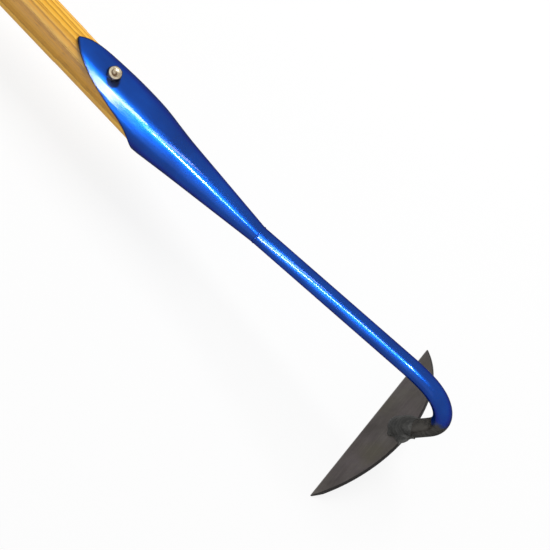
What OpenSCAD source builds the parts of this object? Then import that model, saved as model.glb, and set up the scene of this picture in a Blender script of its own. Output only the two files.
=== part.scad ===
// Half moon hoe, lying face down: the blade's cutting edge and the handle's butt are on the ground.
// +X runs from the butt to the head, +Z is up, and the origin is under the middle of the whole tool.
// Lengths are in millimetres and angles in degrees.

/* [Handle] */
// Length of the handle from the butt to the socket's shoulder
handle_len = 1300; // [900:10:1500]
// Diameter of the handle
handle_d = 32; // [28:0.5:36]
// Radius that rounds the butt
butt_round = 6; // [2:0.5:10]
// Length of the handle's taper inside the cone
taper_len = 62; // [30:1:66]
// Gap all round between the pared wood and the socket
wood_gap = 0.2; // [0.2:0.05:0.4]

/* [Socket] */
// Thickness of the socket's steel sheet
sheet = 2.2; // [1.5:0.1:3]
// Length of the tongue from its tip to the shoulder
tongue_len = 80; // [60:1:110]
// Length of the cone from the shoulder to the neck
cone_len = 106; // [95:1:140]
// Set of the cone up from the handle's line
cone_set = 5.6; // [0:0.1:8]
// Width of the open seam under the cone
seam_gap = 1.4; // [0.6:0.1:3]
// Length at the narrow end where the seam is closed
seam_closed = 30; // [26:1:45]

/* [Neck] */
// Diameter of the bar
bar_d = 14; // [12:0.5:16]
// Set of the bar up from the cone's line
bar_set = 5.4; // [0:0.1:8]
// Length of the straight bar
bar_len = 140; // [100:1:200]
// Radius of the easy bend before the hook
sweep_r = 110; // [60:1:160]
// Angle of the easy bend
sweep_angle = 9.3; // [4:0.1:20]
// Radius of the hook
hook_r = 34.5; // [28:0.5:45]
// Angle of the hook
hook_angle = 100.7; // [85:0.1:110]
// Length of the tail after the hook
tail_len = 37; // [30:0.5:50]
// Length of the spigot inside the cone
spigot_len = 24; // [10:1:25]
// Gap all round between the spigot and the cone
spigot_gap = 0.1; // [0.05:0.05:0.3]

/* [Blade] */
// Width of the blade from point to point
blade_w = 160; // [120:1:200]
// Depth of the blade from the back to the cutting edge
blade_depth = 38.5; // [30:0.5:60]
// Thickness of the blade
blade_t = 2.5; // [2:0.1:4]
// Width of the ground bevel
bevel_w = 7; // [4:0.5:12]
// Thickness left at the cutting edge
edge_t = 0.6; // [0.3:0.1:1.2]
// Blunting of each point
point_flat = 0.8; // [0.5:0.1:3]
// Angle between the tail and the blade
blade_lean = 20.5; // [10:0.5:30]
// Length of the tail that laps over the blade
lap = 12.5; // [8:0.5:18]
// Depth of the blade's seat outside the tail's middle
seat_depth = 1.1; // [0:0.1:3]

/* [Screw] */
// Distance of the screw from the tongue's tip
screw_from_tip = 35; // [24:0.5:45]
// Angle of the screw round the handle, off the tongue's middle
screw_turn = 3; // [0:0.5:6]
// Diameter of the screw's thread
screw_d = 6; // [5:0.5:7]
// Length of the screw under its head
screw_len = 28; // [20:1:30]
// Width of the hexagon across its flats
hex_flats = 10; // [9:0.5:13]
// Height of the hexagon
hex_height = 4.2; // [3:0.1:6]
// Diameter of the hollow in the head
dish_d = 6.2; // [4:0.1:8]
// Depth of the hollow in the head
dish_depth = 0.6; // [0.3:0.1:1.2]
// Pitch of the thread
thread_pitch = 2.6; // [1.8:0.1:3.5]
// Depth of the thread
thread_depth = 0.9; // [0.5:0.1:1.3]
// Gap all round between the screw and its hole
screw_gap = 0.1; // [0.05:0.05:0.3]

/* [Welds] */
// Radius of the bead round the lap
bead_r = 3; // [2:0.1:4]
// Radius of the large fillet at one side of the tail
large_fillet = 9; // [6:0.5:12]
// Radius of the small fillet at its other side
small_fillet = 4; // [2:0.5:6]
// How far the neck's bead stands out of the bar
neck_bead = 0.7; // [0.4:0.1:1.5]

/* [Hidden] */
$fn = 96;

handle_r = handle_d / 2;
pared_r = handle_r - wood_gap;         // the wood where the socket holds it
socket_r = handle_r + sheet;           // outside of the socket at the handle
bar_r = bar_d / 2;
nose_r = bar_r - sheet;                // inside of the cone at the neck
thread_plain = 6;                      // plain shank under the head
point_len = 5;                         // the screw's point
step_in = 0.03;                        // what the bends are thinner than the straight bar
joint = 0.3;                           // how far the straight bar runs into each bend
weld_gap = 0.01;                       // hair's breadth between the weld and the blade's back
far = 400;                             // larger than the head, for cutting

// How far round the wood the tongue reaches, as [share of its length, angle from its middle].
// Every second pair is a point of the edge, and the ones between pull it into a curve.
tongue_edge = [[0, 2], [0.14, 44], [0.69, 66], [0.91, 76], [0.981, 109], [1.02, 130], [1.075, 178]];
edge_steps = 8;                        // steps in each curve of the edge
fan_steps = 16;                        // steps across the tongue

// Points of the head in the handle's own upright plane, from the shoulder: [along, up].
function heading(a) = [cos(a), sin(a)];
function turn_middle(p, a, r) = p + r * heading(a - 90);
function turn_end(p, a, r, turn) = turn_middle(p, a, r) + r * heading(a - turn + 90);
bar_dir = cone_set + bar_set;
hook_dir = bar_dir - sweep_angle;
tail_dir = hook_dir - hook_angle;
blade_dir = tail_dir - blade_lean;
neck_start = cone_len * heading(cone_set);
sweep_start = neck_start + bar_len * heading(bar_dir);
hook_start = turn_end(sweep_start, bar_dir, sweep_r, sweep_angle);
hook_middle = turn_middle(hook_start, hook_dir, hook_r);
tail_start = turn_end(hook_start, hook_dir, hook_r, hook_angle);
seat_at = tail_len - lap;              // the blade's back, along the tail
seat = tail_start + seat_at * heading(tail_dir) + seat_depth * heading(tail_dir + 90);
edge_corner = seat + blade_depth * heading(blade_dir) + edge_t * heading(blade_dir + 90);

// The ground touches the butt's rounding and the cutting edge, and that sets the handle's rise.
butt_low = [butt_round - handle_len, butt_round - handle_r];
butt_high = [butt_round - handle_len, handle_r - butt_round];
butt_to_edge = edge_corner - butt_low;
rise = -atan2(butt_to_edge[1], butt_to_edge[0]) - asin(butt_round / norm(butt_to_edge));
function raised(p) = [p[0] * cos(rise) - p[1] * sin(rise), p[0] * sin(rise) + p[1] * cos(rise)];
back_end = raised(butt_high)[0] - butt_round;
front_end = raised(hook_middle)[0] + hook_r + bar_r;
ground = raised(edge_corner)[1];

// Circle of the blade's back, which runs to sharp points a little past the blunted ones.
sharp_half = blade_w / 2 + point_flat;
back_r = (sharp_half * sharp_half + blade_depth * blade_depth) / (2 * blade_depth);

// Lays down what is drawn from the shoulder with +X along the handle.
module laid() {
    translate([-(back_end + front_end) / 2, 0, -ground]) rotate([0, -rise, 0]) children();
}

// From the shoulder to the cone, then to the bar, the tail and the blade.
module along_x() { rotate([0, 90, 0]) children(); }
module on_cone() { rotate([0, -cone_set, 0]) children(); }
module on_bar() { on_cone() translate([cone_len, 0, 0]) rotate([0, -bar_set, 0]) children(); }
module past_bend(r, turn) {
    translate([r * sin(turn), 0, r * cos(turn) - r]) rotate([0, turn, 0]) children();
}
module on_tail() {
    on_bar() translate([bar_len, 0, 0]) past_bend(sweep_r, sweep_angle) past_bend(hook_r, hook_angle) children();
}
module on_blade() { on_tail() translate([seat_at, 0, seat_depth]) rotate([0, blade_lean, 0]) children(); }
module on_screw() { translate([screw_from_tip - tongue_len, 0, 0]) rotate([screw_turn, 0, 0]) children(); }
module ahead_of_neck() { on_bar() translate([0, -far / 2, -far / 2]) cube(far); }

// Half outline of the handle, turned about its axis: the grip, its rounded butt and the pared end.
module handle_side() {
    grip = handle_len - tongue_len - butt_round;
    translate([0, -handle_len]) {
        square([handle_r - butt_round, butt_round]);
        intersection() {
            translate([handle_r - butt_round, butt_round]) circle(butt_round);
            square([handle_r, butt_round]);
        }
        translate([0, butt_round]) square([handle_r, grip]);
    }
    translate([0, -tongue_len - 1]) square([pared_r, tongue_len + 1]);
}

module screw_hole() {
    on_screw() translate([0, 0, socket_r - screw_len - screw_gap]) cylinder(r = screw_d / 2 + screw_gap, h = far);
}

module handle() {
    color("burlywood") laid() difference() {
        union() {
            along_x() rotate_extrude() handle_side();
            sphere(pared_r);
            on_cone() along_x()
                cylinder(r1 = pared_r, r2 = pared_r - (handle_r - nose_r) * taper_len / cone_len, h = taper_len);
        }
        screw_hole();
    }
}

// The space beside and below the tongue: a fan about the handle's axis, narrower at each step along it.
function curve(a, b, c, t) = a * (1 - t) * (1 - t) + b * 2 * t * (1 - t) + c * t * t;
function edge_points() = concat([tongue_edge[0]], [for (k = [0 : 2 : 4]) for (i = [1 : edge_steps])
    curve(tongue_edge[k], tongue_edge[k + 1], tongue_edge[k + 2], i / edge_steps)]);
module beside_tongue() {
    rows = edge_points();
    last = len(rows) - 1;
    wide = fan_steps + 2;
    reach = 1.6 * socket_r;
    points = [for (row = rows) each concat([[(row[0] - 1) * tongue_len, 0, 0]],
        [for (k = [0 : fan_steps]) let (a = row[1] + (360 - 2 * row[1]) * k / fan_steps)
            [(row[0] - 1) * tongue_len, reach * sin(a), reach * cos(a)]])];
    sides = [for (i = [0 : last - 1]) for (k = [0 : wide - 1]) let (n = (k + 1) % wide)
        each [[i * wide + k, i * wide + n, (i + 1) * wide + n],
              [i * wide + k, (i + 1) * wide + n, (i + 1) * wide + k]]];
    ends = [for (k = [1 : wide - 2]) each [[0, k + 1, k], [last * wide, last * wide + k, last * wide + k + 1]]];
    polyhedron(points, concat(sides, ends));
}

// The socket's outside or its hollow, by its radii. The hollow runs past the narrow end.
module socket_form(r, nose, more) {
    along_x() translate([0, 0, -tongue_len - more]) cylinder(r = r, h = tongue_len + more);
    sphere(r);
    on_cone() along_x() cylinder(r1 = r, r2 = nose - (r - nose) / cone_len, h = cone_len + 1);
}

module socket_solid() {
    difference() {
        socket_form(socket_r, bar_r, 0);
        socket_form(handle_r, nose_r, 1);
        beside_tongue();
        ahead_of_neck();
        on_cone() translate([-socket_r, -seam_gap / 2, -2 * socket_r])
            cube([cone_len - seam_closed + socket_r, seam_gap, 2 * socket_r]);
        screw_hole();
    }
}
module socket() { color("mediumblue") laid() socket_solid(); }

// The space inside the blade's round back, from its near face outwards.
module blade_room(more) { linear_extrude(far) translate([back_r, 0]) circle(back_r + more, $fn = 180); }

// A bar that bends down from +X by a turn, a hair thinner than the straight bar that it runs into.
module bent_bar(r, turn) {
    translate([0, 0, -r]) rotate([90, 0, 0]) rotate([0, 0, 90 - turn])
        rotate_extrude(angle = turn) translate([r, 0]) circle(bar_r - step_in);
}

// The neck before its tail is cut to lie on the blade.
module neck_form() {
    spigot_r = nose_r - spigot_gap;
    slope = (handle_r - nose_r) / cone_len;
    on_cone() along_x() translate([0, 0, cone_len - spigot_len])
        cylinder(r1 = spigot_r + spigot_len * slope, r2 = spigot_r - slope, h = spigot_len + 1);
    on_bar() {
        along_x() cylinder(r = bar_r, h = bar_len + joint);
        translate([bar_len, 0, 0]) {
            bent_bar(sweep_r, sweep_angle);
            past_bend(sweep_r, sweep_angle) {
                along_x() translate([0, 0, -joint]) cylinder(r = bar_r, h = 2 * joint);
                bent_bar(hook_r, hook_angle);
            }
        }
    }
    on_tail() along_x() translate([0, 0, -joint]) cylinder(r = bar_r, h = tail_len + joint);
}
module neck() {
    color("royalblue") laid() difference() {
        neck_form();
        on_blade() blade_room(0);
    }
}

// The blade lies in its own plane, with its back's middle at the start and its edge along +X.
module blade_solid() {
    difference() {
        linear_extrude(blade_t) intersection() {
            translate([back_r, 0]) circle(back_r, $fn = 180);
            translate([0, -blade_w / 2]) square([blade_depth, blade_w]);
        }
        translate([blade_depth, 0, edge_t]) rotate([0, atan((blade_t - edge_t) / bevel_w), 0])
            translate([-2 * bevel_w, -far / 2, 0]) cube([4 * bevel_w, far, far]);
    }
}
module blade() { color("dimgray") laid() on_blade() blade_solid(); }

// A weld fillet in the corner between the tail's side and the blade's back.
module corner_fillet(r) {
    linear_extrude(blade_t) difference() {
        translate([-r, 0]) square([r + back_r / 20, bar_r + r]);
        translate([-r, bar_r + r]) circle(r);
        translate([back_r, 0]) circle(back_r + 2 * weld_gap, $fn = 180);
    }
}
module blade_weld() {
    lap_end = lap / cos(blade_lean);
    color("slategray") laid() difference() {
        on_blade() union() {
            for (side = [-1, 1]) translate([0, side * bar_r, 0]) {
                along_x() cylinder(r = bead_r, h = lap_end);
                sphere(bead_r);
                translate([lap_end, 0, 0]) sphere(bead_r);
            }
            translate([lap_end, bar_r, 0]) rotate([90, 0, 0]) cylinder(r = bead_r, h = bar_d);
            mirror([0, 1, 0]) corner_fillet(large_fillet);
            corner_fillet(small_fillet);
        }
        neck_form();
        on_blade() blade_room(weld_gap);
    }
}

// The bead lies on the bar against the cone's end.
module neck_weld() {
    bead = 2 * neck_bead;
    color("slateblue") laid() on_bar() along_x() rotate_extrude() intersection() {
        translate([bar_r + neck_bead - bead, bead / 3]) circle(bead);
        translate([bar_r, 0]) square(2 * bead);
    }
}

module screw() {
    core = screw_d / 2 - thread_depth;
    turns = floor((screw_len - thread_plain - point_len) / thread_pitch);
    flat_r = 0.475 * hex_flats;
    color("lightgray") laid() on_screw() translate([0, 0, socket_r]) {
        difference() {
            intersection() {
                cylinder(r = hex_flats / 2 / cos(30), h = hex_height, $fn = 6);
                cylinder(r1 = flat_r + hex_height / tan(30), r2 = flat_r, h = hex_height);
            }
            translate([0, 0, hex_height - dish_depth])
                cylinder(r1 = dish_d / 2 - dish_depth, r2 = dish_d / 2, h = dish_depth);
        }
        rotate_extrude() polygon(concat(
            [[0, 0.1], [screw_d / 2, 0.1], [screw_d / 2, -thread_plain], [core, -thread_plain]],
            [for (k = [0 : turns - 1]) for (p = [[core, 0.25], [screw_d / 2, 0.5], [core, 0.75]])
                [p[0], -thread_plain - (k + p[1]) * thread_pitch]],
            [[core, point_len - screw_len], [0, -screw_len]]));
    }
}

handle();
socket();
neck();
blade();
screw();
blade_weld();
neck_weld();
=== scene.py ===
import bpy
from math import asin, cos, degrees, pi, radians, sin, sqrt
from mathutils import Matrix, Vector


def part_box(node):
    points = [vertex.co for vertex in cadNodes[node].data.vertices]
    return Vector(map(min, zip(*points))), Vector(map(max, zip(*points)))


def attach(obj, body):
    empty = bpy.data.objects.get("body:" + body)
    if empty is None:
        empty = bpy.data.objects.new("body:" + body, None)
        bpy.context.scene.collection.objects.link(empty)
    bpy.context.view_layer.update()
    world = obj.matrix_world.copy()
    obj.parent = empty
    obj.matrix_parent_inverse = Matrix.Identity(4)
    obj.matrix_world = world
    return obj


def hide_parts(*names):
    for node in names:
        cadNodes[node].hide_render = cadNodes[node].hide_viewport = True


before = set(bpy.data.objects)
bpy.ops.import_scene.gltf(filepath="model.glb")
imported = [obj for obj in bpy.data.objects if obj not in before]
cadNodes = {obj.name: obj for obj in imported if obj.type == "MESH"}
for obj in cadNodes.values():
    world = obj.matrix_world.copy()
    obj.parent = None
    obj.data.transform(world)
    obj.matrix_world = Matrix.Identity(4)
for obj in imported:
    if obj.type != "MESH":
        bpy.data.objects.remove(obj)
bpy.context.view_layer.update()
mm = 0.001
print("frame loaded:", sorted(cadNodes))

# The line that the head follows, as in the solids, in millimetres and degrees
line = {
    "rise": 1.571,
    "socketR": 18.2,
    "tongueLen": 80,
    "coneSet": 5.6,
    "coneLen": 106,
    "barR": 7,
    "barSet": 5.4,
    "barLen": 140,
    "sweepR": 110,
    "sweepAngle": 9.3,
    "hookR": 34.5,
    "hookAngle": 100.7,
    "tailLen": 37,
    "seatAt": 24.5,
    "seatDepth": 1.1,
    "bladeLean": 20.5,
    "bladeDepth": 38.5,
    "bladeEdge": 0.6,
}


def shift(x, y, z):
    return Matrix.Translation(Vector((x, y, z)) * mm)


def pitch(angle):  # positive turns +X down
    return Matrix.Rotation(radians(angle), 4, "Y")


def bend(radius, angle):
    turn = radians(angle)
    return shift(radius * sin(turn), 0, radius * cos(turn) - radius) @ pitch(angle)


def followLine(shoulder):
    cone = shoulder @ pitch(-line["coneSet"])
    bar = cone @ shift(line["coneLen"], 0, 0) @ pitch(-line["barSet"])
    hook = bar @ shift(line["barLen"], 0, 0) @ bend(line["sweepR"], line["sweepAngle"])
    tail = hook @ bend(line["hookR"], line["hookAngle"])
    blade = tail @ shift(line["seatAt"], 0, line["seatDepth"]) @ pitch(line["bladeLean"])
    return {"shoulder": shoulder, "cone": cone, "bar": bar, "hook": hook, "tail": tail, "blade": blade}


# The hook's front and the blade's lowest corner set where the shoulder lies
loose = followLine(pitch(-line["rise"]))
hookMiddle = (loose["hook"] @ shift(0, 0, -line["hookR"])).translation.x
hookFront = hookMiddle + (line["hookR"] + line["barR"]) * mm
edgeLow = (loose["blade"] @ shift(line["bladeDepth"], 0, line["bladeEdge"])).translation.z
setPlace = Matrix.Translation((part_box("neck")[1][0] - hookFront, 0, -edgeLow))
places = followLine(setPlace @ pitch(-line["rise"]))


# Camera, at the photograph's angle

camera = {
    "place": (0.4589, -0.5522, 1.0055),     # metres
    "turn": (15.446, -27.303, 41.158),      # degrees
    "lens": 101.7,                          # millimetres
    "sees": 20,                             # metres
}


def makeCamera():
    bpy.ops.object.camera_add(location=camera["place"], rotation=[radians(a) for a in camera["turn"]])
    shot = bpy.context.object
    shot.name = "photoCamera"
    shot.data.lens = camera["lens"]
    shot.data.clip_end = camera["sees"]
    bpy.context.scene.camera = shot


makeCamera()
print("camera set")


# Small tools for modelling

mergeWithin = 0.002 * mm


def startClean():
    if bpy.context.object and bpy.context.object.mode != "OBJECT":
        bpy.ops.object.mode_set(mode="OBJECT")
    bpy.ops.object.select_all(action="DESELECT")


def choose(piece):  # makes it the one selected and active object
    startClean()
    piece.select_set(True)
    bpy.context.view_layer.objects.active = piece


def startEdit():
    bpy.ops.object.mode_set(mode="EDIT")
    bpy.ops.mesh.select_all(action="SELECT")


def endEdit():
    bpy.ops.object.mode_set(mode="OBJECT")


def pickVerts(piece, test):  # selects the vertices that pass the test
    bpy.ops.object.mode_set(mode="EDIT")
    bpy.ops.mesh.select_mode(type="VERT")
    bpy.ops.mesh.select_all(action="DESELECT")
    bpy.ops.object.mode_set(mode="OBJECT")
    for vertex in piece.data.vertices:
        vertex.select = test(vertex)
    bpy.ops.object.mode_set(mode="EDIT")


def pullOut(x, y, z):  # extrudes what is selected, in millimetres
    bpy.ops.mesh.extrude_region_move(TRANSFORM_OT_translate={"value": Vector((x, y, z)) * mm})


def addModifier(piece, kind, **settings):
    modifier = piece.modifiers.new(kind.title(), kind)
    for name, value in settings.items():
        setattr(modifier, name, value)
    bpy.ops.object.modifier_apply(modifier=modifier.name)


def copyOfNode(name):  # a merged copy of a solid, to be dressed
    piece = bpy.data.objects.new(name + "Piece", cadNodes[name].data.copy())
    bpy.context.scene.collection.objects.link(piece)
    choose(piece)
    startEdit()
    bpy.ops.mesh.remove_doubles(threshold=mergeWithin)
    endEdit()
    return piece


def layDown(piece, place):  # moves a piece from its own lines to where it lies
    choose(piece)
    piece.matrix_world = place @ piece.matrix_world
    bpy.ops.object.transform_apply(location=True, rotation=True, scale=True)


def finishPiece(piece, name, node, material, smoothAngle):
    piece.name = name
    piece.data.name = name
    choose(piece)
    bpy.ops.object.shade_smooth_by_angle(angle=radians(smoothAngle))
    piece.data.materials.clear()
    piece.data.materials.append(material)
    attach(piece, "root")
    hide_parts(node)
    print("made", name, len(piece.data.vertices), "vertices")


# Small tools for materials

def newMaterial(name):
    material = bpy.data.materials.new(name)
    material.use_nodes = True
    tree = material.node_tree
    return material, tree, tree.nodes["Principled BSDF"]


def addNode(tree, kind, inputs, **settings):
    node = tree.nodes.new(kind)
    for name, value in settings.items():
        setattr(node, name, value)
    for name, value in inputs.items():
        if isinstance(value, bpy.types.NodeSocket):
            tree.links.new(value, node.inputs[name])
        else:
            node.inputs[name].default_value = value
    return node


def objectPoint(tree):
    return addNode(tree, "ShaderNodeTexCoord", {}).outputs["Object"]


def pointFrom(tree, place):  # the same point as measured from a place on the line
    inward = place.inverted()
    return addNode(tree, "ShaderNodeMapping", {
        "Vector": objectPoint(tree),
        "Rotation": inward.to_euler("XYZ"),
        "Location": inward.translation,
    }).outputs["Vector"]


def stretched(tree, vector, scale):
    return addNode(tree, "ShaderNodeMapping", {"Vector": vector, "Scale": scale}).outputs["Vector"]


def noise(tree, vector, scale, detail=3, roughness=0.5, distortion=0.0):
    inputs = {"Vector": vector, "Scale": scale, "Detail": detail, "Roughness": roughness}
    return addNode(tree, "ShaderNodeTexNoise", {**inputs, "Distortion": distortion}).outputs["Fac"]


def ramp(tree, factor, stops):
    node = addNode(tree, "ShaderNodeValToRGB", {"Fac": factor})
    band = node.color_ramp
    while len(band.elements) < len(stops):
        band.elements.new(0.5)
    for element, (spot, colour) in zip(band.elements, stops):
        element.position = spot
        element.color = (*colour, 1)
    return node.outputs["Color"]


def remap(tree, value, low, high, toLow, toHigh):
    inputs = {"Value": value, "From Min": low, "From Max": high, "To Min": toLow, "To Max": toHigh}
    return addNode(tree, "ShaderNodeMapRange", inputs).outputs["Result"]


def mixColour(tree, factor, a, b, blend="MIX"):
    inputs = {0: factor, 6: a, 7: b}
    return addNode(tree, "ShaderNodeMix", inputs, data_type="RGBA", blend_type=blend).outputs[2]


def mixValue(tree, factor, a, b):
    return addNode(tree, "ShaderNodeMix", {0: factor, 2: a, 3: b}, data_type="FLOAT").outputs[0]


def maths(tree, operation, a, b=0.0):
    return addNode(tree, "ShaderNodeMath", {0: a, 1: b}, operation=operation).outputs[0]


def vectorMaths(tree, operation, a, b=(0, 0, 0)):
    return addNode(tree, "ShaderNodeVectorMath", {0: a, 1: b}, operation=operation).outputs


def splitPoint(tree, vector):
    return addNode(tree, "ShaderNodeSeparateXYZ", {"Vector": vector}).outputs


def bump(tree, height, strength, distance, under=None):
    inputs = {"Height": height, "Strength": strength, "Distance": distance}
    if under is not None:
        inputs["Normal"] = under
    return addNode(tree, "ShaderNodeBump", inputs).outputs["Normal"]


def plug(tree, shader, **sockets):
    for name, value in sockets.items():
        tree.links.new(value, shader.inputs[name.replace("_", " ")])


# Wood of the handle: long fibres, growth lines and pores along the shaft

wood = {
    "light": (0.93, 0.57, 0.085),
    "middle": (0.73, 0.355, 0.024),
    "dark": (0.34, 0.135, 0.014),
    "pore": (0.24, 0.09, 0.014),
    "heart": (0.5, -0.055, 0.030),      # a point on the tree's middle, in metres from the shoulder
    "ringScale": 85,
    "ringStretch": 0.055,               # how little the rings change along the shaft
    "grainShare": 0.74,
    "fibreScale": (9, 620, 620),
    "poreScale": (70, 1500, 1500),
    "sheen": 0.22,
}


def makeWood():
    material, tree, shader = newMaterial("ashWood")
    point = pointFrom(tree, places["shoulder"])
    long = stretched(tree, point, (wood["ringStretch"], 1, 1))
    waver = noise(tree, stretched(tree, point, (2.2, 22, 22)), 1.0, 2)
    centred = vectorMaths(tree, "SUBTRACT", long, wood["heart"])[0]
    drift = addNode(tree, "ShaderNodeVectorMath", {0: (0, 0.010, 0.007), 3: waver}, operation="SCALE")
    rings = addNode(tree, "ShaderNodeTexWave", {
        "Vector": vectorMaths(tree, "ADD", centred, drift.outputs[0])[0],
        "Scale": wood["ringScale"],
        "Distortion": 1.6,
        "Detail": 3.0,
        "Detail Scale": 55.0,
        "Detail Roughness": 0.55,
    }, wave_type="RINGS", rings_direction="X", wave_profile="SAW")
    ringStops = [(0.0, wood["light"]), (0.55, wood["middle"]), (0.86, wood["dark"]), (1.0, wood["light"])]
    grain = ramp(tree, rings.outputs["Fac"], ringStops)
    broad = noise(tree, stretched(tree, point, (1.4, 34, 34)), 1.0, 3)
    toneStops = [(0.30, (0.78, 0.66, 0.52)), (0.52, (1.0, 0.97, 0.90)), (0.72, (1.10, 1.13, 1.10))]
    tone = ramp(tree, broad, toneStops)
    fibre = noise(tree, stretched(tree, point, wood["fibreScale"]), 1.0, 4, 0.65)
    fine = ramp(tree, fibre, [(0.30, (0.84, 0.80, 0.76)), (0.62, (1.06, 1.07, 1.09))])
    pore = noise(tree, stretched(tree, point, wood["poreScale"]), 1.0, 1)
    pores = remap(tree, pore, 0.64, 0.72, 0.0, 0.55)
    plain = mixColour(tree, 0.5, (*wood["middle"], 1), (*wood["light"], 1))
    colour = mixColour(tree, wood["grainShare"], plain, grain)
    colour = mixColour(tree, 1.0, colour, tone, "MULTIPLY")
    colour = mixColour(tree, 1.0, colour, fine, "MULTIPLY")
    colour = mixColour(tree, pores, colour, (*wood["pore"], 1))
    rough = remap(tree, fibre, 0.3, 0.7, 0.42, 0.60)
    lift = bump(tree, fibre, 0.22, 0.0004)
    lift = bump(tree, pores, 0.35, -0.0003, lift)
    shader.inputs["Specular IOR Level"].default_value = wood["sheen"]
    plug(tree, shader, Base_Color=colour, Roughness=rough, Normal=lift)
    return material


# Where the screw sits, which the painted shadow of its head on the paint and the tool mark on its head
# follow

screw = {
    "fromTip": 35,          # along the tongue, in millimetres
    "turn": 3,              # round the wood, in degrees
    "headHigh": 4.2,
    "flatAngle": 2,
    "softening": 0.22,
    "softenAngle": 28,
    "smoothAngle": 30,
}
screwTurn = Matrix.Rotation(radians(screw["turn"]), 4, "X")
screwPlace = places["shoulder"] @ shift(screw["fromTip"] - line["tongueLen"], 0, 0) @ screwTurn


# Blue enamel. On the neck it thins out and stops on the hook, where the steel was hot from welding.

enamel = {
    "deep": (0.0006, 0.033, 0.215),
    "fresh": (0.0010, 0.053, 0.325),
    "headShadow": (0.0012, 0.003, 0.010),
    "headShadowSpot": (3.0, -3.4, 0),        # painted shadow and reflection of the head, beside the screw's foot, in millimetres
    "headShadowR": 5.6,
    "headShadowBlur": 1.4,
    "worn": (0.012, 0.016, 0.030),
    "steel": (0.074, 0.068, 0.061),
    "scorch": (0.042, 0.037, 0.034),
    "rim": (0.004, 0.008, 0.020),       # painted shade along the sheet's edges
    "rimShadeShare": 0.90,
    "cloudScale": 26,
    "streakScale": (30, 190, 190),
    "chipScale": 520,
    "scorchScale": 160,
    "gloss": 0.28,                      # of the flakes, which give the blue glow beside each highlight
    "metallic": 0.78,
    "edgeTint": (0.0, 0.07, 0.07, 1),
    "coat": 0.050,                      # clear and smoother, which gives the white middle
    "coatIor": 3.0,
    "coatRough": 0.09,
    "peel": 0.012,                      # faint waves in the paint
    "endPlace": (0.7925, -0.0040, 0.0775),      # the paint ends at this plane, in metres
    "endFacing": (-0.407, 0.843, 0.352),
    "endAngle": 71,                     # and nowhere further round the hook than this
    "endBlur": 1.6,
}


def headShadowShare(tree, point, chipNoise):  # 1 in the painted shadow and reflection of the head beside the screw's foot
    spot = screwPlace @ shift(*enamel["headShadowSpot"]) @ shift(0, 0, line["socketR"])
    toSpot = vectorMaths(tree, "DISTANCE", point, spot.translation)["Value"]
    raggedReach = maths(tree, "ADD", toSpot, remap(tree, chipNoise, 0.3, 0.7, -0.5 * mm, 0.5 * mm))
    fullShadow = enamel["headShadowR"] - enamel["headShadowBlur"]
    return remap(tree, raggedReach, enamel["headShadowR"] * mm, fullShadow * mm, 0.0, 0.93)


def bareShare(tree, point):  # 1 on the neck's end, where the paint is gone
    fromPlane = vectorMaths(tree, "SUBTRACT", point, enamel["endPlace"])[0]
    short = vectorMaths(tree, "DOT_PRODUCT", fromPlane, enamel["endFacing"])["Value"]
    end = places["hook"] @ bend(line["hookR"], enamel["endAngle"])
    fromEnd = vectorMaths(tree, "SUBTRACT", point, end.translation)[0]
    past = vectorMaths(tree, "DOT_PRODUCT", fromEnd, end.col[0].to_3d())["Value"]
    beyond = maths(tree, "MAXIMUM", maths(tree, "MULTIPLY", short, -1.0), past)
    wander = remap(tree, noise(tree, point, 210, 4, 0.6), 0.3, 0.7, -1.1 * mm, 1.1 * mm)
    ragged = maths(tree, "ADD", beyond, wander)
    return remap(tree, ragged, -enamel["endBlur"] * mm, enamel["endBlur"] * mm, 0.0, 1.0)


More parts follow.
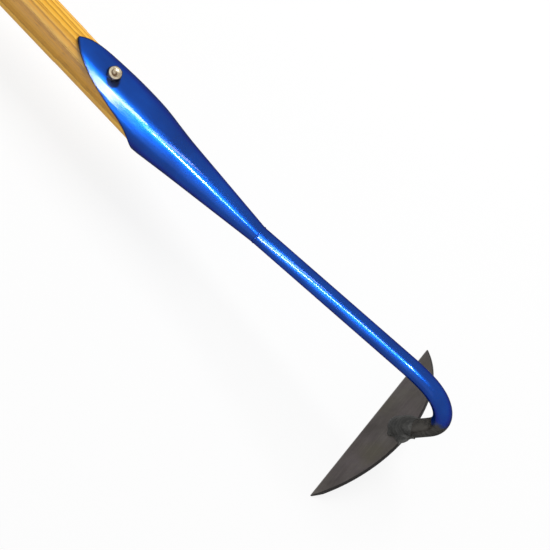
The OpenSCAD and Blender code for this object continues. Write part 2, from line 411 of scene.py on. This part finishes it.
def makeEnamel(name, fades):
    material, tree, shader = newMaterial(name)
    point = objectPoint(tree)
    cloud = noise(tree, point, enamel["cloudScale"], 3)
    colour = ramp(tree, cloud, [(0.32, enamel["deep"]), (0.66, enamel["fresh"])])
    streaks = noise(tree, stretched(tree, point, enamel["streakScale"]), 1.0, 3)
    colour = mixColour(tree, remap(tree, streaks, 0.35, 0.70, 0.0, 0.35), colour, (*enamel["deep"], 1))
    # rim is 1 along the sheet's edges: it places the painted shade there, and the real chips of wear
    rim = addNode(tree, "ShaderNodeAttribute", {}, attribute_name="rim").outputs["Fac"]
    shaded = maths(tree, "MULTIPLY", rim, enamel["rimShadeShare"])
    colour = mixColour(tree, shaded, colour, (*enamel["rim"], 1))
    chipNoise = noise(tree, point, enamel["chipScale"], 3, 0.7)
    if not fades:
        # painted shadow and reflection of the screw's head, darkening the paint beside its foot
        colour = mixColour(tree, headShadowShare(tree, point, chipNoise), colour, (*enamel["headShadow"], 1))
    chips = maths(tree, "MULTIPLY", remap(tree, chipNoise, 0.50, 0.62, 0.0, 1.0), rim)
    specks = remap(tree, noise(tree, point, 1300, 1), 0.74, 0.78, 0.0, 0.5)
    chips = maths(tree, "MAXIMUM", maths(tree, "MULTIPLY", chips, 0.8), specks)
    colour = mixColour(tree, chips, colour, (*enamel["worn"], 1))
    paintRough = remap(tree, cloud, 0.3, 0.7, enamel["gloss"] - 0.01, enamel["gloss"] + 0.04)
    rough = mixValue(tree, chips, paintRough, 0.55)
    lift = bump(tree, noise(tree, point, 420, 2), enamel["peel"], 0.0005)
    lift = bump(tree, chips, 0.5, -0.0001, lift)
    if fades:
        bare = bareShare(tree, point)
        scorching = noise(tree, point, enamel["scorchScale"], 4, 0.6)
        steel = ramp(tree, scorching, [(0.30, enamel["scorch"]), (0.68, enamel["steel"])])
        colour = mixColour(tree, bare, colour, steel)
        rough = mixValue(tree, bare, rough, remap(tree, scorching, 0.3, 0.7, 0.36, 0.55))
        pitted = maths(tree, "MULTIPLY", bare, noise(tree, point, 900, 3, 0.7))
        lift = bump(tree, pitted, 0.35, 0.0003, lift)
    shader.inputs["Metallic"].default_value = enamel["metallic"]
    shader.inputs["Specular IOR Level"].default_value = 0.0
    shader.inputs["Specular Tint"].default_value = enamel["edgeTint"]
    shader.inputs["Coat Weight"].default_value = enamel["coat"]
    shader.inputs["Coat Roughness"].default_value = enamel["coatRough"]
    shader.inputs["Coat IOR"].default_value = enamel["coatIor"]
    plug(tree, shader, Base_Color=colour, Roughness=rough, Normal=lift)
    return material


# The blade's own sizes, which its steel follows too

blade = {
    "width": 160,
    "pointFlat": 0.8,       # how far the sharp points are cut off to reach that width
    "thick": 2.5,
    "bevel": 7,
    "softening": 0.22,
    "softenAngle": 40,
    "steps": 480,
    "smoothAngle": 35,
}


def bladeBackR():  # radius of the curved back, in millimetres
    halfSharp = blade["width"] / 2 + blade["pointFlat"]
    return (halfSharp * halfSharp + line["bladeDepth"] ** 2) / (2 * line["bladeDepth"])


# Steel of the blade, dark from the forge, with fine grinding marks, a brighter ground edge and painted
# shade along the curved back

scaleSteel = {
    "dark": (0.052, 0.045, 0.042),
    "light": (0.098, 0.088, 0.082),
    "violet": (0.080, 0.062, 0.072),
    "olive": (0.078, 0.072, 0.045),
    "ground": (0.30, 0.29, 0.28),
    "backShade": (0.012, 0.011, 0.011),
    "edgeWidth": 1.1,       # ground bright beside the cutting edge
    "backShadeWidth": 0.60,       # width of the painted shade along the curved back
    "cloudScale": 38,
    "markScale": (1500, 28, 400),
    "metallic": 0.8,
}


def groundShare(tree, local):  # 1 on the ground bevel and less beside the cutting edge
    split = splitPoint(tree, local)
    outer = remap(tree, split["Z"], 0.7 * mm, 1.1 * mm, 0.0, 1.0)
    thin = remap(tree, split["Z"], (blade["thick"] - 0.1) * mm, (blade["thick"] - 0.15) * mm, 0.0, 1.0)
    bevelFrom = line["bladeDepth"] - blade["bevel"]
    bevelled = remap(tree, split["X"], (bevelFrom - 0.3) * mm, (bevelFrom + 0.3) * mm, 0.0, 1.0)
    edgeFrom = line["bladeDepth"] - scaleSteel["edgeWidth"]
    sharp = remap(tree, split["X"], edgeFrom * mm, line["bladeDepth"] * mm, 0.0, 0.55)
    bevel = maths(tree, "MULTIPLY", maths(tree, "MULTIPLY", outer, bevelled), thin)
    return maths(tree, "MAXIMUM", bevel, sharp)


def backShadeShare(tree, point, local):  # near 1 along the curved back, where shade is painted
    backR = bladeBackR() * mm
    inputs = {"Vector": local, "Location": (-backR, 0, 0), "Scale": (1, 1, 0)}
    fromMiddle = addNode(tree, "ShaderNodeMapping", inputs).outputs["Vector"]
    reach = vectorMaths(tree, "LENGTH", fromMiddle)["Value"]
    wander = remap(tree, noise(tree, point, 300, 3), 0.3, 0.7, -0.2 * mm, 0.2 * mm)
    ragged = maths(tree, "ADD", reach, wander)
    wide = scaleSteel["backShadeWidth"] * mm
    return remap(tree, ragged, backR - 1.3 * wide, backR - 0.5 * wide, 0.0, 0.92)


def makeBladeSteel():
    material, tree, shader = newMaterial("forgedSteel")
    point = objectPoint(tree)
    local = pointFrom(tree, places["blade"])
    cloud = noise(tree, point, scaleSteel["cloudScale"], 5, 0.62, 0.4)
    colour = ramp(tree, cloud, [(0.28, scaleSteel["dark"]), (0.70, scaleSteel["light"])])
    violet = remap(tree, noise(tree, point, 21, 3), 0.46, 0.70, 0.0, 0.55)
    colour = mixColour(tree, violet, colour, (*scaleSteel["violet"], 1))
    olive = remap(tree, noise(tree, stretched(tree, point, (1, -1, 1)), 27, 3), 0.50, 0.72, 0.0, 0.50)
    colour = mixColour(tree, olive, colour, (*scaleSteel["olive"], 1))
    marks = noise(tree, stretched(tree, local, scaleSteel["markScale"]), 1.0, 3, 0.6)
    markTone = ramp(tree, marks, [(0.30, (0.86, 0.86, 0.86)), (0.70, (1.14, 1.14, 1.14))])
    colour = mixColour(tree, 1.0, colour, markTone, "MULTIPLY")
    ground = groundShare(tree, local)
    colour = mixColour(tree, ground, colour, (*scaleSteel["ground"], 1))
    # painted shade along the blade's curved back
    colour = mixColour(tree, backShadeShare(tree, point, local), colour, (*scaleSteel["backShade"], 1))
    rough = mixValue(tree, ground, remap(tree, cloud, 0.3, 0.7, 0.38, 0.54), 0.30)
    pits = remap(tree, noise(tree, point, 700, 3, 0.7), 0.60, 0.75, 0.0, 1.0)
    lift = bump(tree, marks, 0.10, 0.0002)
    lift = bump(tree, pits, 0.20, -0.0001, lift)
    lift = bump(tree, noise(tree, point, 60, 2), 0.10, 0.0015, lift)
    shader.inputs["Metallic"].default_value = scaleSteel["metallic"]
    plug(tree, shader, Base_Color=colour, Roughness=rough, Normal=lift)
    return material


# Weld metal, dark and rippled, with a painted highlight on the ripples' ridges

weldMetal = {
    "dark": (0.019, 0.019, 0.018),
    "middle": (0.033, 0.033, 0.031),
    "bright": (0.095, 0.093, 0.088),
    "lumpScale": 260,
    "rippleScale": 150,
    "metallic": 0.45,
    "sheen": 0.25,
}


def makeWeldMetal():
    material, tree, shader = newMaterial("weldMetal")
    point = objectPoint(tree)
    local = pointFrom(tree, places["blade"])
    lumps = noise(tree, point, weldMetal["lumpScale"], 4, 0.6)
    lumpStops = [(0.28, weldMetal["dark"]), (0.62, weldMetal["middle"]), (0.86, weldMetal["bright"])]
    colour = ramp(tree, lumps, lumpStops)
    ripple = addNode(tree, "ShaderNodeTexWave", {
        "Vector": local,
        "Scale": weldMetal["rippleScale"],
        "Distortion": 5.0,
        "Detail": 2.0,
        "Detail Scale": 1.4,
    }, wave_type="BANDS", bands_direction="DIAGONAL").outputs["Fac"]
    # painted highlight on the ripples' ridges
    colour = mixColour(tree, remap(tree, ripple, 0.72, 1.0, 0.0, 0.22), colour, (*weldMetal["bright"], 1))
    depth = splitPoint(tree, local)["Z"]
    toe = remap(tree, depth, -0.9 * mm, -0.3 * mm, 0.0, 0.55)   # brighter where it runs out on the blade
    colour = mixColour(tree, toe, colour, (*weldMetal["bright"], 1))
    rough = remap(tree, lumps, 0.3, 0.7, 0.52, 0.72)
    lift = bump(tree, ripple, 0.12, 0.0004)
    lift = bump(tree, lumps, 0.30, 0.0006, lift)
    lift = bump(tree, noise(tree, point, 1100, 3, 0.7), 0.3, 0.0002, lift)
    shader.inputs["Metallic"].default_value = weldMetal["metallic"]
    shader.inputs["Specular IOR Level"].default_value = weldMetal["sheen"]
    plug(tree, shader, Base_Color=colour, Roughness=rough, Normal=lift)
    return material


# Zinc plate on the screw, with painted shade on the head's sides

zinc = {
    "pale": (0.54, 0.47, 0.35),
    "warm": (0.36, 0.28, 0.18),
    "stain": (0.11, 0.060, 0.030),
    "sideShade": (0.012, 0.014, 0.030),      # painted shade and reflection of the blue paint, on the head's sides
    "sideShadeShare": 0.94,
    "faceR": 4.7,           # of the top that is left without the painted shade
    "dishR": 3.0,           # of the hollow in it
    "curl": 1500,           # turns of the tool mark in the hollow, in radians a metre
}
headTop = (line["socketR"] + screw["headHigh"]) * mm


def makeZinc():
    material, tree, shader = newMaterial("zincPlate")
    local = pointFrom(tree, screwPlace)
    split = splitPoint(tree, local)
    radius = vectorMaths(tree, "LENGTH", stretched(tree, local, (1, 1, 0)))["Value"]
    cloud = noise(tree, local, 420, 4, 0.6)
    colour = ramp(tree, cloud, [(0.30, zinc["warm"]), (0.55, zinc["pale"])])
    angle = maths(tree, "ARCTAN2", split["Y"], split["X"])
    curl = maths(tree, "SINE", maths(tree, "ADD", angle, maths(tree, "MULTIPLY", radius, zinc["curl"])))
    inDish = remap(tree, radius, zinc["dishR"] * mm, (zinc["dishR"] - 0.35) * mm, 0.0, 1.0)
    shade = maths(tree, "MULTIPLY", inDish, remap(tree, curl, -0.5, 0.7, 0.15, 0.95))
    colour = mixColour(tree, shade, colour, (*zinc["stain"], 1))
    onTop = remap(tree, split["Z"], headTop - 0.85 * mm, headTop - 0.70 * mm, 0.0, 1.0)
    inFace = remap(tree, radius, zinc["faceR"] * mm, (zinc["faceR"] - 0.15) * mm, 0.0, 1.0)
    plainTop = maths(tree, "MULTIPLY", onTop, inFace)
    # painted shade and reflection on the head's sides, everywhere but the top face
    sidesShaded = maths(tree, "SUBTRACT", zinc["sideShadeShare"], maths(tree, "MULTIPLY", plainTop, zinc["sideShadeShare"]))
    colour = mixColour(tree, sidesShaded, colour, (*zinc["sideShade"], 1))
    rough = remap(tree, cloud, 0.3, 0.7, 0.24, 0.42)
    lift = bump(tree, maths(tree, "MULTIPLY", curl, inDish), 0.35, 0.0004)
    lift = bump(tree, noise(tree, local, 1600, 3, 0.7), 0.20, 0.0001, lift)
    shader.inputs["Metallic"].default_value = 1.0
    plug(tree, shader, Base_Color=colour, Roughness=rough, Normal=lift)
    return material


finishes = {
    "wood": makeWood(),
    "socketPaint": makeEnamel("blueEnamel", False),
    "neckPaint": makeEnamel("blueEnamelFading", True),
    "bladeSteel": makeBladeSteel(),
    "weldMetal": makeWeldMetal(),
    "zinc": makeZinc(),
}
print("materials made")


# Socket: one steel sheet pressed round the wood, with a pointed tongue and an open seam below

socket = {
    "sheet": 2.2,
    "rim": 0.7,             # rounding of the sheet's edges
    "edgeShade": 1.5,       # how far in from them the painted shade reaches
    "turnOver": 7,          # half the length in which the tube turns into the cone
    # Share of the tongue's length and degrees round the wood, as three joined curves of three points
    "edge": [(0, 2), (0.14, 44), (0.69, 66), (0.91, 76), (0.981, 109), (1.02, 130), (1.075, 178)],
    "seamGap": 1.4,
    "seamShut": 0.15,
    "seamClosed": 30,       # shut along this much of the cone, at its narrow end
    "seamEase": 8,
    "endTurn": 10,          # where the cone's end turns into the line of the bar
    "bellyFar": 1.9,        # how far the sheet's sides stand out where it leaves the wood
    "bellyNear": 0.5,
    "bellyMiddle": -14,
    "bellyReach": 46,
    # Rows of vertices along the sheet: from, to, how many and how much closer at the start
    "rows": [(-line["tongueLen"], -6, 70, 1.35), (-6, 8, 28, 1), (8, line["coneLen"], 56, 1)],
    "across": 72,
    "corner": 5,            # steps round each corner of the sheet
    "smoothAngle": 50,
}


def edgeAngle(share):  # how far round the wood the sheet reaches, by the share of the tongue's length
    points = socket["edge"]
    for k in (0, 2, 4):
        a, b, c = points[k:k + 3]
        if share <= c[0]:
            square = a[0] - 2 * b[0] + c[0]
            linear = 2 * (b[0] - a[0])
            gap = share - a[0]
            if abs(square) < 1e-9:
                t = gap / linear
            else:
                t = (sqrt(linear * linear + 4 * square * gap) - linear) / (2 * square)
            return a[1] * (1 - t) ** 2 + 2 * b[1] * t * (1 - t) + c[1] * t * t
    return 180


def clamp(share):
    return min(max(share, 0), 1)


def tubeRing(along):  # middle, tilt and radius of the sheet's outside
    half = socket["turnOver"]
    slope = (line["socketR"] - line["barR"]) / line["coneLen"]
    rise = radians(line["coneSet"])
    bent = clamp((along + half) / (2 * half))
    eased = half * bent * bent
    if along <= half:
        middle = Vector((along, 0, eased * sin(rise)))
        radius = line["socketR"] - slope * eased
    else:
        middle = Vector((along * cos(rise), 0, along * sin(rise)))
        radius = line["socketR"] - slope * along
    last = clamp((along - line["coneLen"]) / socket["endTurn"] + 1)
    return middle, line["coneSet"] * bent + line["barSet"] * last, radius


def sheetSection(halfAngle, radius):  # closed outline of the sheet across the tube, as (angle, radius, rim)
    rim = socket["rim"]
    across = socket["across"]
    inside = radius - socket["sheet"]
    outerEnd = halfAngle - degrees(rim / radius)
    innerEnd = halfAngle - degrees(rim / inside)
    outer = []
    for k in range(across + 1):
        angle = outerEnd * (2 * k / across - 1)
        fromEdge = radians(outerEnd - abs(angle)) * radius
        outer.append((angle, radius, max(0, 1 - fromEdge / socket["edgeShade"])))
    inner = [(innerEnd * (1 - 2 * k / across), inside, 0) for k in range(across + 1)]
    turns = [pi / 2 * k / socket["corner"] for k in range(socket["corner"] + 1)]
    edge = []
    for a in turns[1:]:
        edge.append((outerEnd + degrees(rim * sin(a) / radius), radius - rim + rim * cos(a), 1))
    for a in turns[:-1]:
        edge.append((innerEnd + degrees(rim * cos(a) / inside), inside + rim - rim * sin(a), 1))
    otherEdge = [(-angle, height, mark) for angle, height, mark in reversed(edge)]
    return outer + edge + inner + otherEdge + outer[:1]


def sheetRow(along):  # middle, turn, how far the sides stand out, and outline
    middle, tilt, radius = tubeRing(along)
    closing = clamp((along - line["coneLen"] + socket["seamClosed"]) / socket["seamEase"] + 0.5)
    gap = socket["seamGap"] + (socket["seamShut"] - socket["seamGap"]) * closing
    reach = min(edgeAngle(along / line["tongueLen"] + 1), 180 - degrees(asin(gap / 2 / radius)))
    stand = max(0, 1 - ((along - socket["bellyMiddle"]) / socket["bellyReach"]) ** 2) ** 2
    return middle, pitch(-tilt).to_3x3(), stand, sheetSection(reach, radius)


def makeSocket():
    alongs = [socket["rows"][0][0]]
    for start, end, count, crowd in socket["rows"]:
        alongs += [start + (end - start) * ((k + 1) / count) ** crowd for k in range(count)]
    sections = [sheetRow(along) for along in alongs]
    around = len(sections[0][3])
    startClean()
    bpy.ops.mesh.primitive_grid_add(x_subdivisions=len(alongs) - 1, y_subdivisions=around - 1, size=2)
    piece = bpy.context.object
    # the rim mark places the painted shade along the sheet's edges, and the chips of wear
    rimMark = piece.data.attributes.new("rim", "FLOAT", "POINT")
    for vertex in piece.data.vertices:
        row = round((vertex.co.x + 1) / 2 * (len(alongs) - 1))
        step = round((vertex.co.y + 1) / 2 * (around - 1))
        middle, turn, stand, outline = sections[row]
        angle, radius, rim = outline[step]
        side = sin(radians(angle))
        radius += stand * side * side * (socket["bellyFar"] if side > 0 else socket["bellyNear"])
        across = Vector((0, radius * side, radius * cos(radians(angle))))
        vertex.co = (middle + turn @ across) * mm
        rimMark.data[vertex.index].value = rim
    startEdit()
    bpy.ops.mesh.remove_doubles(threshold=mergeWithin)
    bpy.ops.mesh.select_all(action="DESELECT")
    bpy.ops.mesh.select_mode(type="EDGE")
    bpy.ops.mesh.select_non_manifold(extend=False, use_boundary=True, use_wire=False,
        use_multi_face=False, use_non_contiguous=False, use_verts=False)
    bpy.ops.mesh.edge_face_add()
    bpy.ops.mesh.select_all(action="SELECT")
    bpy.ops.mesh.normals_make_consistent(inside=False)
    endEdit()
    layDown(piece, places["shoulder"])
    paint = finishes["socketPaint"]
    finishPiece(piece, "socket_sheet", "socket", paint, socket["smoothAngle"])


makeSocket()


# Neck: a round bar, straight, then bent over, with its end cut to lie on the blade

neck = {
    "sides": 64,
    "straightSteps": 14,
    "sweepSteps": 6,
    "hookSteps": 36,
    "tailSteps": 6,
    "spigotR": 4.7,
    "spigotBackR": 7.2,     # wider at its inner end, as the cone is
    "spigotLen": 24,
    "cutter": 60,           # side of the block that cuts the tail's end
    "smoothAngle": 40,
}


def pullSpigot(piece):  # draws the bar's first ring in and back into the cone
    pickVerts(piece, lambda vertex: abs(vertex.co.x) < 0.01 * mm)
    bpy.ops.mesh.extrude_region_move()
    bpy.ops.transform.resize(value=(neck["spigotR"] / line["barR"],) * 3, center_override=(0, 0, 0))
    back = -(pitch(line["barSet"]).col[0].to_3d()) * neck["spigotLen"]
    pullOut(*back)
    bpy.ops.transform.resize(value=(neck["spigotBackR"] / neck["spigotR"],) * 3, center_override=back * mm)
    bpy.ops.mesh.edge_face_add()


def cutSeat(piece, seat):  # takes off what would go through the blade
    bpy.ops.mesh.primitive_cube_add(size=neck["cutter"] * mm)
    cutter = bpy.context.object
    cutter.matrix_world = seat @ shift(neck["cutter"] / 2, 0, neck["cutter"] / 2)
    choose(piece)
    addModifier(piece, "BOOLEAN", operation="DIFFERENCE", object=cutter, solver="EXACT")
    bpy.data.objects.remove(cutter)


def makeNeck():
    startClean()
    bpy.ops.mesh.primitive_circle_add(vertices=neck["sides"], radius=line["barR"] * mm,
        rotation=(0, pi / 2, 0))
    piece = bpy.context.object
    bpy.ops.object.transform_apply(location=False, rotation=True, scale=False)
    startEdit()
    for _ in range(neck["straightSteps"]):
        pullOut(line["barLen"] / neck["straightSteps"], 0, 0)
    sweepStart = shift(line["barLen"], 0, 0)
    bpy.ops.mesh.spin(steps=neck["sweepSteps"], angle=-radians(line["sweepAngle"]),
        center=(sweepStart @ shift(0, 0, -line["sweepR"])).translation, axis=(0, 1, 0))
    hookStart = sweepStart @ bend(line["sweepR"], line["sweepAngle"])
    bpy.ops.mesh.spin(steps=neck["hookSteps"], angle=-radians(line["hookAngle"]),
        center=(hookStart @ shift(0, 0, -line["hookR"])).translation, axis=(0, 1, 0))
    tailStart = hookStart @ bend(line["hookR"], line["hookAngle"])
    for _ in range(neck["tailSteps"]):
        pullOut(*(tailStart.col[0].to_3d() * line["tailLen"] / neck["tailSteps"]))
    bpy.ops.mesh.edge_face_add()
    pullSpigot(piece)
    bpy.ops.mesh.select_all(action="SELECT")
    bpy.ops.mesh.remove_doubles(threshold=mergeWithin)
    bpy.ops.mesh.normals_make_consistent(inside=False)
    endEdit()
    cutSeat(piece, tailStart @ shift(line["seatAt"], 0, line["seatDepth"]) @ pitch(line["bladeLean"]))
    layDown(piece, places["bar"])
    finishPiece(piece, "neck_bar", "neck", finishes["neckPaint"], neck["smoothAngle"])


makeNeck()


# Blade: a half-moon plate with a ground bevel on its outer side

def makeBlade():
    depth = line["bladeDepth"]
    backR = bladeBackR() * mm
    startClean()
    bpy.ops.mesh.primitive_circle_add(vertices=blade["steps"], radius=backR, fill_type="NGON",
        location=(backR, 0, 0))
    piece = bpy.context.object
    bpy.ops.object.transform_apply(location=True, rotation=False, scale=False)
    startEdit()
    bpy.ops.mesh.bisect(plane_co=(depth * mm, 0, 0), plane_no=(1, 0, 0), clear_outer=True)
    for side in (-1, 1):
        bpy.ops.mesh.select_all(action="SELECT")
        bpy.ops.mesh.bisect(plane_co=(0, side * blade["width"] / 2 * mm, 0), plane_no=(0, side, 0),
            clear_outer=True)
    bpy.ops.mesh.select_all(action="SELECT")
    pullOut(0, 0, blade["thick"])
    bpy.ops.mesh.select_all(action="SELECT")
    bpy.ops.mesh.normals_make_consistent(inside=False)
    slopeUp = Vector((blade["thick"] - line["bladeEdge"], 0, blade["bevel"])).normalized()
    bpy.ops.mesh.bisect(plane_co=(depth * mm, 0, line["bladeEdge"] * mm), plane_no=slopeUp,
        clear_outer=True, use_fill=True)
    bpy.ops.mesh.select_all(action="SELECT")
    bpy.ops.mesh.normals_make_consistent(inside=False)
    endEdit()
    addModifier(piece, "BEVEL", width=blade["softening"] * mm, segments=2, limit_method="ANGLE",
        angle_limit=radians(blade["softenAngle"]), use_clamp_overlap=False)
    layDown(piece, places["blade"])
    finishPiece(piece, "blade_plate", "blade", finishes["bladeSteel"], blade["smoothAngle"])


makeBlade()


# Weld round the tail: the solid's fillets with the run-out mounds added, melted together and rippled

bladeWeld = {
    "grain": 0.45,          # size of the cells that it is melted together from
    # Middle and half sizes of each mound. The last is a collar that runs out on the tail.
    "mounds": [
        ((4.5, -0.6, -1.0), (14.4, 9.2, 10.2)),
        ((1.0, -7.0, 0.0), (6.5, 7.0, 3.2)),
        ((-2.2, 0.0, -5.4), (12.8, 7.8, 7.8)),
    ],
    "cutOff": 0.9,          # nothing stands out past this depth in the blade
    "meltSteps": 26,
    "lump": 0.30,
    "lumpSize": 4.5,
    "ripple": 0.10,
    "rippleSize": 1.2,
    "smoothAngle": 60,
}


def roughen(piece, size, strength):
    texture = bpy.data.textures.new("weldRipple", "CLOUDS")
    texture.noise_scale = size * mm
    texture.noise_depth = 2
    addModifier(piece, "DISPLACE", texture=texture, texture_coords="LOCAL", strength=strength * mm,
        mid_level=0.55)


def addMound(middle, reach):
    startClean()
    bpy.ops.mesh.primitive_uv_sphere_add(segments=48, ring_count=24, radius=mm,
        location=[c * mm for c in middle])
    mound = bpy.context.object
    mound.scale = reach
    bpy.ops.object.transform_apply(location=True, rotation=True, scale=True)
    layDown(mound, places["blade"])
    return mound


def makeBladeWeld():
    mounds = [addMound(middle, reach) for middle, reach in bladeWeld["mounds"]]
    piece = copyOfNode("blade_weld")
    for mound in mounds:    # united first, because the remesh leaves a slit along each buried skin
        addModifier(piece, "BOOLEAN", operation="UNION", object=mound, solver="EXACT")
        bpy.data.objects.remove(mound)
    startEdit()
    cutPlace = (places["blade"] @ shift(0, 0, bladeWeld["cutOff"])).translation
    bpy.ops.mesh.bisect(plane_co=cutPlace, plane_no=places["blade"].col[2].to_3d(), clear_outer=True,
        use_fill=True)
    endEdit()
    addModifier(piece, "REMESH", mode="VOXEL", voxel_size=bladeWeld["grain"] * mm)
    addModifier(piece, "SMOOTH", factor=0.5, iterations=bladeWeld["meltSteps"])
    roughen(piece, bladeWeld["lumpSize"], bladeWeld["lump"])
    roughen(piece, bladeWeld["rippleSize"], bladeWeld["ripple"])
    addModifier(piece, "SMOOTH", factor=0.5, iterations=2)
    metal = finishes["weldMetal"]
    finishPiece(piece, "blade_weld_bead", "blade_weld", metal, bladeWeld["smoothAngle"])


makeBladeWeld()


# Weld between the cone and the bar, lumpy under the paint

neckWeld = {
    "middle": 0.5,          # how far along the bar
    "pipe": 1.25,
    "sink": 0.85,           # how deep the bead's middle lies under the bar's skin
    "around": 96,
    "pipeSteps": 20,
    "lump": 0.40,
    "lumpSize": 4.0,
    "smoothAngle": 60,
}


def makeNeckWeld():
    startClean()
    bpy.ops.mesh.primitive_torus_add(
        major_segments=neckWeld["around"],
        minor_segments=neckWeld["pipeSteps"],
        major_radius=(line["barR"] - neckWeld["sink"]) * mm,
        minor_radius=neckWeld["pipe"] * mm,
        location=(neckWeld["middle"] * mm, 0, 0),
        rotation=(0, pi / 2, 0),
    )
    piece = bpy.context.object
    bpy.ops.object.transform_apply(location=True, rotation=True, scale=True)
    roughen(piece, neckWeld["lumpSize"], neckWeld["lump"])
    addModifier(piece, "SMOOTH", factor=0.5, iterations=2)
    layDown(piece, places["bar"])
    paint = finishes["socketPaint"]
    finishPiece(piece, "neck_weld_bead", "neck_weld", paint, neckWeld["smoothAngle"])


makeNeckWeld()


# Screw: the solid with its edges broken

def makeScrew():
    piece = copyOfNode("screw")
    startEdit()
    bpy.ops.mesh.dissolve_limited(angle_limit=radians(screw["flatAngle"]))
    endEdit()
    addModifier(piece, "BEVEL", width=screw["softening"] * mm, segments=3, limit_method="ANGLE",
        angle_limit=radians(screw["softenAngle"]), use_clamp_overlap=True)
    finishPiece(piece, "screw_plated", "screw", finishes["zinc"], screw["smoothAngle"])


makeScrew()

cadNodes["handle"].data.materials.clear()
cadNodes["handle"].data.materials.append(finishes["wood"])
print("handle dressed")


# Stage: a pale floor, a white room and soft lamps

stage = {
    "floorSize": 8,
    "floorColour": (0.86, 0.86, 0.86, 1),
    "floorRough": 0.9,
    "floorSheen": 0.1,
    "floorGlow": 0.86,
    "roomLight": 0.42,      # what lights the hoe, while the camera sees plain white
}


def seenDirectly(tree):  # 1 for the camera's own rays and for what shines or shows through
    path = addNode(tree, "ShaderNodeLightPath", {})
    seen = maths(tree, "MAXIMUM", path.outputs["Is Camera Ray"], path.outputs["Is Glossy Ray"])
    return maths(tree, "MAXIMUM", seen, path.outputs["Is Transmission Ray"])


def makeFloor():
    startClean()
    bpy.ops.mesh.primitive_plane_add(size=stage["floorSize"])
    floor = bpy.context.object
    floor.name = "floor"
    material, tree, shader = newMaterial("paleFloor")
    shader.inputs["Base Color"].default_value = stage["floorColour"]
    shader.inputs["Roughness"].default_value = stage["floorRough"]
    shader.inputs["Specular IOR Level"].default_value = stage["floorSheen"]
    glow = addNode(tree, "ShaderNodeEmission", {"Color": (1, 1, 1, 1), "Strength": 1.0})
    share = maths(tree, "MULTIPLY", seenDirectly(tree), stage["floorGlow"])
    both = addNode(tree, "ShaderNodeMixShader", {0: share, 1: shader.outputs[0], 2: glow.outputs[0]})
    tree.links.new(both.outputs[0], tree.nodes["Material Output"].inputs["Surface"])
    floor.data.materials.append(material)


def makeRoom():
    room = bpy.data.worlds.new("whiteRoom")
    bpy.context.scene.world = room
    room.use_nodes = True
    tree = room.node_tree
    strength = mixValue(tree, seenDirectly(tree), stage["roomLight"], 1.0)
    tree.links.new(strength, tree.nodes["Background"].inputs["Strength"])
    tree.nodes["Background"].inputs["Color"].default_value = (1, 1, 1, 1)


# Places are in metres, and the long side of each lamp lies along "along".
# The cards shine only in the gloss.
lamps = {
    "overhead": {
        "place": (0.35, 0.95, 1.75),
        "aim": (0.5, 0, 0.05),
        "along": (1, 0, 0),
        "size": (1.4, 1.0),
        "power": 34,
    },
    "tongueCard": {
        "place": (0.388, -0.963, 0.875),
        "aim": (0.457, -0.011, 0.065),
        "along": (1, 0, 0),
        "size": (0.04, 0.81),
        "power": 11,
    },
    "ridgeCard": {
        "place": (0.435, -0.6, 1.3),
        "aim": (0.475, -0.009, 0.067),
        "along": (0.09, 0.36, 0.2),
        "size": (0.42, 0.06),
        "power": 6.0,
    },
    "coneCard": {
        "place": (0.625, -0.66, 1.3),
        "aim": (0.54, -0.006, 0.068),
        "along": (0, 1, 0),
        "size": (0.13, 0.06),
        "power": 9.0,
    },
    "coneEnd": {
        "place": (0.715, -0.77, 1.3),
        "aim": (0.57, -0.005, 0.07),
        "along": (1, 0, 0),
        "size": (0.11, 0.08),
        "power": 2.0,
    },
    "neckCard": {
        "place": (0.53, -0.134, 0.5),
        "aim": (0.65, -0.003, 0.081),
        "along": (0.27, 0.963, 0),
        "size": (0.31, 0.016),
        "power": 0.45,
    },
    "edgeCard": {
        "place": (0.29, -0.95, 0.19),
        "aim": (0.445, -0.01, 0.065),
        "along": (1, 0, 0),
        "size": (0.15, 0.16),
        "power": 4.5,
    },
    "sideCard": {
        "place": (0.6, -1.15, 0.42),
        "aim": (0.55, 0, 0.06),
        "along": (1, 0, 0),
        "size": (1.6, 0.75),
        "power": 1.7,
    },
}


def makeLamps():
    for name, lamp in lamps.items():
        back = (Vector(lamp["place"]) - Vector(lamp["aim"])).normalized()
        side = (Vector(lamp["along"]) - back * back.dot(Vector(lamp["along"]))).normalized()
        turn = Matrix((side, back.cross(side), back)).transposed().to_euler()
        bpy.ops.object.light_add(type="AREA", location=lamp["place"], rotation=turn)
        light = bpy.context.object
        light.name = name
        light.data.shape = "RECTANGLE"
        light.data.size, light.data.size_y = lamp["size"]
        light.data.energy = lamp["power"]
        light.visible_camera = False
        light.visible_diffuse = name == "overhead"
        light.visible_glossy = name != "overhead"


makeFloor()
makeRoom()
makeLamps()
bpy.context.scene.view_settings.view_transform = "Standard"
print("stage set")
